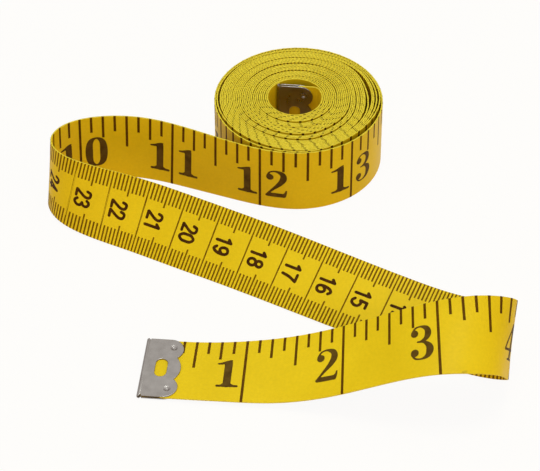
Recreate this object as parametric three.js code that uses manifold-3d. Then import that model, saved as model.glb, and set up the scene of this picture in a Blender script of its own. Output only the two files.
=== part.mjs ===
// Cloth tape measure: a printed, plastic-coated cloth tape with a folded metal tip on each end.
// Most of its length stands on edge in a wound coil. The rest runs off the front of the coil,
// round a loop at the left, back past itself, over a fold at the right and out to the first tip.
// Millimetres, +Z up. The tape is cut into lengths at its bend lines, where it flexes.

import * as THREE from 'three';
import { mergeVertices } from 'three/addons/utils/BufferGeometryUtils.js';
import Module from 'manifold-3d';

// Tape
const TAPE_WIDTH = 19;
const TAPE_THICKNESS = 0.42;
const BEND_GAP = 0.3;
const STATION_STEP = 2;
const TWISTED_STRIPS = 4;

// Coil: its radius to the middle of the outer wrap's thickness, how far its eye lies off its axis,
// and the angle where the tape leaves it, in degrees anticlockwise from +X
const COIL_RADIUS = 22.7;
const EYE_DRIFT_X = -0.45;
const EYE_DRIFT_Y = 1.5;
const WRAP_GAP = 0.42;
const LEAVING_ANGLE = -83;
const STEPS_PER_WRAP = 24;

// Tail of the tape: a chord of the coil's eye behind its middle, after a bend off the last wrap
const TAIL_OFFSET = 4.2;
const TAIL_BEND_RADIUS = 2.6;
const TAIL_MARGIN = 0.3;
const TAIL_BEND_STEPS = 6;
const EYE_CLEARANCE = 0.3;

// Folded metal tip: length along the tape, and its scalloped inner edge of three lobes
const TIP_LENGTH = 9.6;
const TIP_METAL = 0.35;
const TIP_CLEARANCE = 0.15;
const NOTCH_DEPTH = 1.3;
const NOTCH_OFFSET = 3.55;
const TIP_HOLE_WIDTH = 3.2;
const TIP_HOLE_LENGTH = 5.6;
const TIP_HOLE_SETBACK = 4.8;
const PIP_BASE_RADIUS = 0.9;
const PIP_TOP_RADIUS = 0.5;
const PIP_HEIGHT = 0.3;
const PIP_END_INSET = 2.7;
const PIP_EDGE_INSET = 2.75;

// Bend lines, as distances along the tape from the outer edge of the start tip
const TIP_BEND = 15;
const FOLD_FRONT_BEND = 80;
const FOLD_BACK_BEND = 120;
const LOOP_FRONT_BEND = 222;
const LOOP_BACK_BEND = 262;
const PEEL_BEND = 309;

// Free tape from the start tip to the coil, seen from the coil's axis: x and y of the middle of
// the tape, the height of its lower edge, and its lean from upright in degrees
const ROUTE = [
  [-49, -83.5, 0.5, -87],
  [-38.5, -84.75, 0.75, -87],
  [-28, -86, 1, -87],
  [-17.5, -87.25, 1.25, -87],
  [-5, -88.75, 1.25, -78],
  [7.5, -90.5, 5, -72],
  [19.5, -93, 11.75, -70],
  [31.5, -95.5, 18.5, -68],
  [42.5, -96, 18.25, -57],
  [49.5, -91.5, 9.75, -29],
  [52, -86.5, 1.75, 15],
  [46, -81, 0.5, 51],
  [36, -75.25, 1, 67],
  [25, -69.5, 1, 66],
  [14, -63.5, 0.75, 61],
  [3, -57.25, 0.5, 57],
  [-8, -51, 0.25, 53],
  [-19, -45.25, 0.25, 50],
  [-30.25, -39.75, 0.25, 46],
  [-41.75, -34.5, 0.25, 37],
  [-53, -31, 0.75, 24],
  [-62.75, -27, 1.25, 13],
  [-66.5, -18.75, 1, 4],
  [-61.75, -10.5, 0.5, 0],
  [-51.5, -6.5, 0, -1],
  [-40.5, -8, 0, -3],
  [-29, -13, 0, -3],
  [-18, -18, 0, 0],
];
const ANCHOR_SPACING = 10;
const SAMPLES_PER_SPAN = 24;

const UP = new THREE.Vector3(0, 0, 1);
const radians = THREE.MathUtils.degToRad;

// Half the space between a tip's leaves, and half its thickness
const tipHalfGap = TAPE_THICKNESS / 2 + TIP_CLEARANCE;
const tipHalfThickness = tipHalfGap + TIP_METAL;

const tapeMaterial = new THREE.MeshStandardMaterial({ color: 0xe3c81e, roughness: 0.42, metalness: 0 });
const tipMaterial = new THREE.MeshStandardMaterial({ color: 0xa9a29c, roughness: 0.32, metalness: 1 });

// A point at a radius and an angle, in plan
function polar(radius, angle) {
  return [radius * Math.cos(angle), radius * Math.sin(angle)];
}

// Three spline anchors that lay the end of the route on the outer wrap of the coil
function coilAnchors() {
  const step = ANCHOR_SPACING / COIL_RADIUS;
  const radius = (6 * COIL_RADIUS) / (4 + 2 * Math.cos(step));
  return [-1, 0, 1].map((k) => [...polar(radius, radians(LEAVING_ANGLE) + k * step), TAPE_WIDTH / 2, 0]);
}

// The route's rows with the height of the tape's middle in place of its lower edge's
function splineRows() {
  const free = ROUTE.map(([x, y, lift, lean]) => [
    x,
    y,
    lift + (TAPE_WIDTH / 2) * Math.cos(radians(lean)),
    lean,
  ]);
  return [...free, ...coilAnchors()];
}

// A point of the uniform cubic B-spline that the rows control
function splineAt(rows, u) {
  const span = Math.min(Math.floor(u), rows.length - 4);
  const f = u - span;
  const weights = [
    (1 - f) ** 3 / 6,
    (3 * f ** 3 - 6 * f ** 2 + 4) / 6,
    (-3 * f ** 3 + 3 * f ** 2 + 3 * f + 1) / 6,
    f ** 3 / 6,
  ];
  return rows[0].map((_, k) => weights.reduce((sum, weight, j) => sum + weight * rows[span + j][k], 0));
}

// A station of the tape: its middle, the way along it, the way up across its width, and its face's normal
function station(centre, along, lean) {
  const upright = UP.clone().addScaledVector(along, -along.z).normalize();
  const side = new THREE.Vector3().crossVectors(along, upright);
  const across = upright.multiplyScalar(Math.cos(lean)).addScaledVector(side, Math.sin(lean));
  const normal = new THREE.Vector3().crossVectors(along, across);
  return { centre, along, across, normal };
}

// The free tape as finely spaced stations, each with its distance from the start tip's edge
function sampleRoute() {
  const rows = splineRows();
  const count = (rows.length - 3) * SAMPLES_PER_SPAN;
  const points = Array.from({ length: count + 1 }, (_, i) => splineAt(rows, i / SAMPLES_PER_SPAN));
  const middles = points.map(([x, y, z]) => new THREE.Vector3(x, y, z));
  let distance = 0;
  return points.map((point, i) => {
    const before = middles[Math.max(i - 1, 0)];
    const after = middles[Math.min(i + 1, count)];
    const along = after.clone().sub(before).normalize();
    distance += i > 0 ? middles[i].distanceTo(middles[i - 1]) : 0;
    return { ...station(middles[i], along, radians(point[3])), distance };
  });
}

const routeSamples = sampleRoute();
const routeLength = routeSamples.at(-1).distance;

// The station at a distance along the free tape
function routeStation(distance) {
  const after = Math.max(1, routeSamples.findIndex((sample) => sample.distance >= distance));
  const [a, b] = [routeSamples[after - 1], routeSamples[after]];
  const share = (distance - a.distance) / (b.distance - a.distance);
  const centre = a.centre.clone().lerp(b.centre, share);
  const along = a.along.clone().lerp(b.along, share).normalize();
  const across = a.across.clone().lerp(b.across, share);
  across.addScaledVector(along, -across.dot(along)).normalize();
  return { centre, along, across, normal: new THREE.Vector3().crossVectors(along, across) };
}

// Stations between two distances along the free tape
function routeStretch(from, to) {
  const count = Math.max(2, Math.ceil((to - from) / STATION_STEP));
  return Array.from({ length: count + 1 }, (_, i) => routeStation(from + ((to - from) * i) / count));
}

// Where the tail leaves the last wrap, as an angle about the middle of an eye of this radius
function tailAngle(radius) {
  return Math.asin((TAIL_OFFSET - TAIL_BEND_RADIUS) / (radius - TAIL_BEND_RADIUS));
}

// The eye is as large as the end tip needs: the far corner of its chord clears the last wrap
function eyeRadiusForTip() {
  const reach = TIP_LENGTH + TAIL_MARGIN;
  const depth = TAIL_OFFSET + tipHalfThickness;
  let radius = reach;
  for (let pass = 0; pass < 60; pass += 1) {
    const far = reach - (radius - TAIL_BEND_RADIUS) * Math.cos(tailAngle(radius));
    radius = Math.hypot(far, depth) + TAPE_THICKNESS / 2 + EYE_CLEARANCE;
  }
  return radius;
}

// Wraps of the coil, from where the tape leaves it to where its tail begins in the eye
const eyeRadius = eyeRadiusForTip();
const leavingTurn = radians(LEAVING_ANGLE);
const partWrap = (tailAngle(eyeRadius) - leavingTurn) / (2 * Math.PI);
const windingRoom = COIL_RADIUS - eyeRadius - Math.hypot(EYE_DRIFT_X, EYE_DRIFT_Y);
const wholeWraps = Math.floor(windingRoom / (TAPE_THICKNESS + WRAP_GAP) - partWrap);
const wraps = wholeWraps + partWrap;

function wrapStations() {
  const count = Math.round(wraps * STEPS_PER_WRAP);
  return Array.from({ length: count }, (_, i) => {
    const share = (i + 1) / count;
    const angle = leavingTurn + 2 * Math.PI * wraps * share;
    const [x, y] = polar(COIL_RADIUS + (eyeRadius - COIL_RADIUS) * share, angle);
    const centre = new THREE.Vector3(x + EYE_DRIFT_X * share, y + EYE_DRIFT_Y * share, TAPE_WIDTH / 2);
    return station(centre, new THREE.Vector3(-Math.sin(angle), Math.cos(angle), 0), 0);
  });
}

// The tail: from the last wrap round a bend to a straight end that carries the end tip
function tailStations() {
  const angle = tailAngle(eyeRadius);
  const [hubX, hubY] = polar(eyeRadius - TAIL_BEND_RADIUS, angle);
  const firstHeading = angle + Math.PI / 2 + BEND_GAP / TAIL_BEND_RADIUS;
  const lastHeading = Math.PI;
  const bend = Array.from({ length: TAIL_BEND_STEPS + 1 }, (_, i) => {
    const heading = firstHeading + ((lastHeading - firstHeading) * i) / TAIL_BEND_STEPS;
    const [x, y] = polar(TAIL_BEND_RADIUS, heading - Math.PI / 2);
    const centre = new THREE.Vector3(EYE_DRIFT_X + hubX + x, EYE_DRIFT_Y + hubY + y, TAPE_WIDTH / 2);
    return station(centre, new THREE.Vector3(Math.cos(heading), Math.sin(heading), 0), 0);
  });
  const last = bend.at(-1);
  const straight = TIP_LENGTH + TAIL_MARGIN - tipHalfThickness;
  const end = station(last.centre.clone().addScaledVector(last.along, straight), last.along.clone(), 0);
  return [...bend, end];
}

// A closed length of tape through a row of stations, in one or more strips side by side across it
function tapeGeometry(stations, strips) {
  const places = Array.from({ length: strips + 1 }, (_, i) => TAPE_WIDTH * (i / strips - 1 / 2));
  const back = places.map((place) => [place, -TAPE_THICKNESS / 2]);
  const front = places.map((place) => [place, TAPE_THICKNESS / 2]).reverse();
  const section = [...back, ...front];
  const sides = section.length;
  const positions = stations.flatMap(({ centre, across, normal }) =>
    section.flatMap(([place, height]) => centre.clone()
      .addScaledVector(across, place)
      .addScaledVector(normal, height)
      .toArray()));
  const index = [];
  const quad = (a, b, c, d) => index.push(a, b, c, a, c, d);
  for (let i = 0; i + 1 < stations.length; i += 1) {
    for (let k = 0; k < sides; k += 1) {
      const [a, b] = [sides * i + k, sides * i + ((k + 1) % sides)];
      quad(a, b, b + sides, a + sides);
    }
  }
  const last = sides * (stations.length - 1);
  for (let k = 0; k < strips; k += 1) {
    const facing = sides - 1 - k;
    quad(k, facing, facing - 1, k + 1);
    quad(last + k, last + k + 1, last + facing - 1, last + facing);
  }
  const geometry = new THREE.BufferGeometry();
  geometry.setAttribute('position', new THREE.Float32BufferAttribute(positions, 3));
  geometry.setIndex(index);
  geometry.computeVertexNormals();
  return geometry;
}

// Least clear space between one wrap and the next, measured from each station's point
function leastWrapGap(stations) {
  const points = stations.map(({ centre }) => centre);
  const nearest = new THREE.Vector3();
  let least = Infinity;
  points.forEach((point, i) => {
    for (let j = i + Math.floor(STEPS_PER_WRAP / 2); j + 1 < points.length; j += 1) {
      new THREE.Line3(points[j], points[j + 1]).closestPointToPoint(point, true, nearest);
      least = Math.min(least, nearest.distanceTo(point) - TAPE_THICKNESS);
    }
  });
  return least;
}

// Solid cuts and joins
const wasm = await Module();
wasm.setup();

function solid(geometry) {
  const bare = geometry.clone();
  bare.deleteAttribute('normal');
  bare.deleteAttribute('uv');
  const merged = mergeVertices(bare);
  return new wasm.Manifold(new wasm.Mesh({
    numProp: 3,
    vertProperties: new Float32Array(merged.attributes.position.array),
    triVerts: new Uint32Array(merged.index.array),
  }));
}

function geometryOf(body) {
  const mesh = body.getMesh();
  const geometry = new THREE.BufferGeometry();
  geometry.setAttribute('position', new THREE.BufferAttribute(mesh.vertProperties, 3));
  geometry.setIndex(new THREE.BufferAttribute(mesh.triVerts, 1));
  geometry.computeVertexNormals();
  return geometry;
}

// Folded tip, in its own frame: X from the fold into the tape, Y across it, Z through its thickness

// The sheet folded round the end of the tape, as a U of full width
function tipFold() {
  const section = new THREE.Shape();
  section.moveTo(TIP_LENGTH, tipHalfThickness);
  section.lineTo(tipHalfThickness, tipHalfThickness);
  section.absarc(tipHalfThickness, 0, tipHalfThickness, Math.PI / 2, (3 * Math.PI) / 2, false);
  section.lineTo(TIP_LENGTH, -tipHalfThickness);
  section.lineTo(TIP_LENGTH, -tipHalfGap);
  section.lineTo(tipHalfThickness, -tipHalfGap);
  section.absarc(tipHalfThickness, 0, tipHalfGap, (3 * Math.PI) / 2, Math.PI / 2, true);
  section.lineTo(TIP_LENGTH, tipHalfGap);
  const fold = new THREE.ExtrudeGeometry(section, { depth: TAPE_WIDTH, bevelEnabled: false, curveSegments: 8 });
  return fold.translate(0, 0, -TAPE_WIDTH / 2).rotateX(Math.PI / 2);
}

// The outline of a leaf: a straight fold edge, and three lobes that meet at two notches
function tipOutline() {
  const half = TAPE_WIDTH / 2;
  const middleRadius = (NOTCH_DEPTH ** 2 + NOTCH_OFFSET ** 2) / (2 * NOTCH_DEPTH);
  const rim = half - NOTCH_OFFSET;
  const spread = rim + NOTCH_DEPTH;
  const sideRadius = spread - Math.sqrt(spread ** 2 - rim ** 2 - NOTCH_DEPTH ** 2);
  const sideCentre = half - sideRadius;
  const sideNotch = Math.atan2(sideCentre - NOTCH_OFFSET, sideRadius - NOTCH_DEPTH);
  const middleNotch = Math.atan2(NOTCH_OFFSET, middleRadius - NOTCH_DEPTH);
  const outline = new THREE.Shape();
  outline.moveTo(-TIP_METAL, -half - TIP_METAL);
  outline.lineTo(TIP_LENGTH - sideRadius, -half - TIP_METAL);
  outline.lineTo(TIP_LENGTH - sideRadius, -half);
  outline.absarc(TIP_LENGTH - sideRadius, -sideCentre, sideRadius, -Math.PI / 2, sideNotch, false);
  outline.absarc(TIP_LENGTH - middleRadius, 0, middleRadius, -middleNotch, middleNotch, false);
  outline.absarc(TIP_LENGTH - sideRadius, sideCentre, sideRadius, -sideNotch, Math.PI / 2, false);
  outline.lineTo(TIP_LENGTH - sideRadius, half + TIP_METAL);
  outline.lineTo(-TIP_METAL, half + TIP_METAL);
  return outline;
}

// The oval hole through both leaves
function tipHole() {
  const radius = TIP_HOLE_WIDTH / 2;
  const reach = TIP_HOLE_LENGTH / 2 - radius;
  const oval = new THREE.Shape();
  oval.absarc(TIP_HOLE_SETBACK, reach, radius, 0, Math.PI, false);
  oval.absarc(TIP_HOLE_SETBACK, -reach, radius, Math.PI, 2 * Math.PI, false);
  return oval;
}

// A shape in the plane of the tape, pushed right through the tip
function throughTip(shape) {
  const depth = 4 * tipHalfThickness;
  const slab = new THREE.ExtrudeGeometry(shape, { depth, bevelEnabled: false, curveSegments: 10 });
  return solid(slab.translate(0, 0, -depth / 2));
}

// A pip pressed up out of the upper leaf, sunk half a leaf into it
function tipPip(y) {
  const height = PIP_HEIGHT + TIP_METAL / 2;
  const pip = new THREE.CylinderGeometry(PIP_TOP_RADIUS, PIP_BASE_RADIUS, height, 12).rotateX(Math.PI / 2);
  const middle = tipHalfThickness - TIP_METAL / 2 + height / 2;
  return solid(pip.translate(TIP_LENGTH - PIP_END_INSET, y, middle));
}

function tipGeometry() {
  const leaves = solid(tipFold()).intersect(throughTip(tipOutline())).subtract(throughTip(tipHole()));
  const pipOffset = TAPE_WIDTH / 2 - PIP_EDGE_INSET;
  return geometryOf(leaves.add(tipPip(-pipOffset)).add(tipPip(pipOffset)));
}

const tapeMeasure = new THREE.Group();

function addTape(name, stations, strips) {
  const mesh = new THREE.Mesh(tapeGeometry(stations, strips), tapeMaterial);
  mesh.name = name;
  tapeMeasure.add(mesh);
}

// A tip whose fold edge is at a point, lying along the tape that it is folded round
function addTip(name, edge, into, across) {
  const mesh = new THREE.Mesh(tipGeometry(), tipMaterial);
  mesh.name = name;
  const normal = new THREE.Vector3().crossVectors(into, across);
  mesh.quaternion.setFromRotationMatrix(new THREE.Matrix4().makeBasis(into, across, normal));
  mesh.position.copy(edge);
  tapeMeasure.add(mesh);
}

// Lengths of free tape, each clear of its neighbour by the gap at the bend line
const halfGap = BEND_GAP / 2;
const firstStation = routeStation(0);
addTip('start_tip', firstStation.centre, firstStation.along, firstStation.across);
addTape('tape_start_end', routeStretch(tipHalfThickness, TIP_BEND - halfGap), TWISTED_STRIPS);
addTape('leading_run', routeStretch(TIP_BEND + halfGap, FOLD_FRONT_BEND - halfGap), TWISTED_STRIPS);
addTape('right_fold', routeStretch(FOLD_FRONT_BEND + halfGap, FOLD_BACK_BEND - halfGap), TWISTED_STRIPS);
addTape('return_run', routeStretch(FOLD_BACK_BEND + halfGap, LOOP_FRONT_BEND - halfGap), TWISTED_STRIPS);
addTape('left_loop', routeStretch(LOOP_FRONT_BEND + halfGap, LOOP_BACK_BEND - halfGap), TWISTED_STRIPS);
addTape('outgoing_run', routeStretch(LOOP_BACK_BEND + halfGap, PEEL_BEND - halfGap), TWISTED_STRIPS);

// The coil and the tail in its eye
const coilStations = [...routeStretch(PEEL_BEND + halfGap, routeLength), ...wrapStations()];
addTape('tape_coil', coilStations, 1);
const tail = tailStations();
addTape('tape_inner_end', tail, 1);
const tailEnd = tail.at(-1);
const endTipEdge = tailEnd.centre.clone().addScaledVector(tailEnd.along, tipHalfThickness);
addTip('end_tip', endTipEdge, tailEnd.along.clone().negate(), tailEnd.across);

// Origin under the middle of the whole part, on the surface that it stands on
const bounds = new THREE.Box3().setFromObject(tapeMeasure);
const middle = bounds.getCenter(new THREE.Vector3());
tapeMeasure.position.set(-middle.x, -middle.y, -bounds.min.z);

// Bend lines, each as a point and the direction up across the tape, from the coil's axis
const tailBend = tail[0].centre.clone().addScaledVector(tail[0].along, -halfGap);
tapeMeasure.userData.bendLines = {
  tip: routeStation(TIP_BEND),
  foldFront: routeStation(FOLD_FRONT_BEND),
  foldBack: routeStation(FOLD_BACK_BEND),
  loopFront: routeStation(LOOP_FRONT_BEND),
  loopBack: routeStation(LOOP_BACK_BEND),
  peel: routeStation(PEEL_BEND),
  tail: { centre: tailBend, across: UP },
};

console.log(`least gap between wraps: ${leastWrapGap(coilStations).toFixed(3)} mm, wraps: ${wraps.toFixed(2)}`);

export default tapeMeasure;
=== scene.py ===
# Cloth tape measure: the printed tape, its metal tips, and a plain studio.
# Sizes are in millimetres and measured from the coil's axis until they are placed in the frame.

import math

import bmesh
import bpy
import numpy as np
from mathutils import Matrix, Vector

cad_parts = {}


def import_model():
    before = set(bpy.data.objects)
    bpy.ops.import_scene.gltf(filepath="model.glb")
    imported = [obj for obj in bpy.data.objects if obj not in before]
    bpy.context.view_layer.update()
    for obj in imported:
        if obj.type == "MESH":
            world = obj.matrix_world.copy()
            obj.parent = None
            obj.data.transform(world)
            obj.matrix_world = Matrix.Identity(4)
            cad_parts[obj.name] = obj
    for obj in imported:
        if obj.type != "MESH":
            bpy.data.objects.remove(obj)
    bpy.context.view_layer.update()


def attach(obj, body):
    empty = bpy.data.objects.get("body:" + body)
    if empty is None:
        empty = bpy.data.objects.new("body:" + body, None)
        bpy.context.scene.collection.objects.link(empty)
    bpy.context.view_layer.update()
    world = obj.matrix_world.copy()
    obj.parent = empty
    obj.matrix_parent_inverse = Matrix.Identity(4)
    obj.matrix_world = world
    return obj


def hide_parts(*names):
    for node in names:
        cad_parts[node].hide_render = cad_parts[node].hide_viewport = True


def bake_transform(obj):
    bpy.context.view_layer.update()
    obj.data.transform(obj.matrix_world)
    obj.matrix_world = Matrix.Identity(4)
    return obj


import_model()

MM = 0.001
COIL_AXIS = np.array([6.9509, 40.9422, 0.0111])

# Tape
TAPE_WIDTH = 19.0
TAPE_THICKNESS = 0.42
EDGE_ROUNDING = 0.09
INCH = 25.4
TAPE_INCHES = 120

# Coil: radii to the middle of the tape's thickness, angles in degrees anticlockwise from +X
COIL_RADIUS = 22.7
BACK_BULGE = 1.3
LEFT_FLAT = 0.4
EYE_CENTRE = (-0.5, 1.4)
EYE_RADII = (7.2, 7.75)
LEAVING_ANGLE = -83.0
TAIL_ANGLE = 37.0
WHOLE_WRAPS = 28
STEPS_PER_WRAP = 120

# Places where the wraps have sprung apart: turns from the outer end, half the spread in turns, and gap
LOOSE_GAPS = [
    (0.115, 0.15, 1.35),
    (0.48, 0.20, 0.30),
    (0.875, 0.18, 0.85),
    (1.24, 0.12, 0.42),
    (1.70, 0.16, 0.45),
    (2.24, 0.12, 0.30),
    (2.5, 0.20, 0.22),
    (4.28, 0.13, 0.85),
    (5.20, 0.14, 0.45),
    (8.25, 0.12, 0.15),
    (8.5, 0.22, 0.28),
    (10.0, 0.26, 0.62),
    (10.25, 0.12, 0.15),
    (13.0, 0.30, 0.75),
    (13.5, 0.22, 0.52),
    (14.3, 0.12, 0.12),
    (16.5, 0.15, 0.12),
    (18.0, 0.18, 0.22),
    (19.5, 0.24, 0.48),
    (20.3, 0.12, 0.15),
    (22.0, 0.26, 0.55),
    (24.5, 0.18, 0.24),
]
INNER_GAP = 0.08

# All gaps share the room that is left, unevenly and more of it towards the eye: waves of (height, number
# in a turn, start) about a middle
SHARE_MIDDLE = 1.3
SHARE_WAVES = [(0.6, 1.37, 0.2), (0.4, 0.61, 0.7)]
SHARE_OUTSIDE = 0.4
SHARE_GROWTH = 1.2

# Tail in the eye of the coil
TAIL_BEND_RADIUS = 2.1
TAIL_HEADING = 174.5
TAIL_MARGIN = 0.05
TAIL_STEP = 0.1

# Metal tip
TIP_LENGTH = 9.65
TIP_METAL = 0.32
TIP_CLEARANCE = 0.04
TIP_BEVEL = 0.15
TIP_TUCK = 0.6
TUCK_START = 5.0
TUCK_END = 6.2
BEAD_RADIUS = 0.6
BEAD_REACH = 1.0
BEAD_SINK = 0.02
BEAD_NOTCH = 0.45
BEAD_END_REACH = 0.05
BEAD_END_THICKNESS = 0.6
LEAF_START = 0.75
PIP_BORE = 0.78
NOTCH_DEPTH = 1.3
NOTCH_OFFSET = 3.55
TIP_HOLE_WIDTH = 2.95
TIP_HOLE_LENGTH = 5.8
TIP_HOLE_SETBACK = 4.8
PIP_END_INSET = 2.5
PIP_EDGE_INSET = 2.75
TIP_HALF_GAP = TAPE_THICKNESS / 2 + TIP_CLEARANCE
TIP_HALF_THICKNESS = TIP_HALF_GAP + TIP_METAL

# Points of a tip that are nearer than this are one, a face is flat from this share of an upright normal,
# and an edge from this angle is a crease
TIP_WELD = 0.001
FLAT_FACE = 0.999
SHARP_ANGLE = math.radians(35)

# Cup of a punched pip, from its underside over its rim to its floor: radius, and height off the leaf's face
PIP_PROFILE = [
    (0.5, -0.31),
    (0.9, -0.14),
    (0.92, -0.05),
    (0.85, -0.045),
    (0.7, -0.1),
    (0.55, -0.19),
    (0.45, -0.26),
    (0.41, -0.29),
    (0.3, -0.3),
]

# Points and steps along the curves of a tip
SIDE_LOBE_POINTS = 20
MIDDLE_LOBE_POINTS = 18
HOLE_END_POINTS = 16
PIP_SIDES = 24
FLANGE_STEPS = 8
ROLL_STEPS = 16

# Bend lines, as distances along the tape from the outer edge of the start tip
TIP_BEND = 15.0
FOLD_FRONT_BEND = 80.0
FOLD_BACK_BEND = 120.0
LOOP_FRONT_BEND = 222.0
LOOP_BACK_BEND = 262.0
PEEL_BEND = 309.0

# How far each bend spreads to either side of its line
TIP_BEND_REACH = 5.0
BEND_REACH = 9.0
PEEL_REACH = 8.0
TAIL_BEND_REACH = 1.5

# Seams where one length of tape meets the next, measured like the bend lines
START_END_SEAM = 47.0
LEAD_SEAM = 100.0
FOLD_SEAM = 170.0
RETURN_SEAM = 242.0
LOOP_SEAM = 285.0
COIL_SEAM = 330.0
TAIL_SEAM_SETBACK = 4.0

# Steps along a length of tape, and strips across it
FREE_STEP = 0.5
FREE_STRIPS = 14
COIL_STEP = 0.9
COIL_STRIPS = 1

# Free tape from the start tip to the coil: x and y of the middle of the tape, the height of its
# lower edge, and its lean from upright in degrees
ROUTE = [
    (-49.25, -84, 0.5, -86),
    (-38.75, -85, 0.75, -86),
    (-28.25, -86.25, 1, -87),
    (-17.5, -87.25, 1.25, -85),
    (-5, -88.5, 1.25, -77),
    (7.5, -90.5, 5, -72),
    (19.5, -93, 11.75, -70),
    (31.5, -95.5, 18, -68),
    (42.5, -96, 17.75, -57),
    (50, -91.75, 9.75, -29),
    (52, -86.25, 2.25, 21),
    (46, -80.75, 0.75, 51),
    (36, -75.25, 1, 65),
    (25, -69.5, 1, 64),
    (14, -63.5, 0.75, 60.5),
    (3, -57.25, 0.5, 57),
    (-8, -51, 0.25, 53),
    (-19, -45.25, 0.25, 50),
    (-30.25, -39.75, 0.25, 46),
    (-41.75, -34.5, 0.25, 37),
    (-53, -31, 0.5, 26),
    (-62.75, -27, 1.25, 13),
    (-66.75, -18.75, 1, 4),
    (-62, -10.75, 0.5, -4),
    (-51.5, -7.25, 0, -6),
    (-40, -8.25, 0, -7),
    (-28.75, -13, 0, -5),
    (-18, -18, 0, -1),
]
ANCHOR_SPACING = 10.0
SAMPLES_PER_SPAN = 48

# Print: lengths of ticks from the tape's edge, widths of lines, and sizes and places of figures
INK_HEIGHT = 0.02
EIGHTH_TICK = 4.0
QUARTER_TICK = 5.8
HALF_TICK = 8.7
INCH_TICK_WIDTH = 0.68
PRINT_DRIFT = 0.7
DRIFT_START = 30.0
DRIFT_END = 250.0
MM_TICK = 4.4
FIVE_MM_TICK = 5.5
MM_TICK_WIDTH = 0.44
CM_LINE_WIDTH = 0.38
FINE_OVER = 0.5
BARE_END = 75.0
INCH_DIGIT_SIZE = (6.2, 9.0)
INCH_DIGIT_BASE = -5.1
LONE_DIGIT_SPACE = 1.2
DIGIT_BEFORE_LINE = 0.7
DIGIT_AFTER_LINE = 1.3
CM_DIGIT_SIZE = (2.45, 4.75)
CM_DIGIT_PITCH = 2.55
CM_DIGIT_SPACE = 1.1
INCH_FIGURES_ON_COIL = 160.0
CM_FIGURES_ON_COIL = 10.0
INCH_DIGIT_CELL = 0.3
CM_DIGIT_CELL = 0.17
LEAST_CELL = 0.0001

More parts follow.
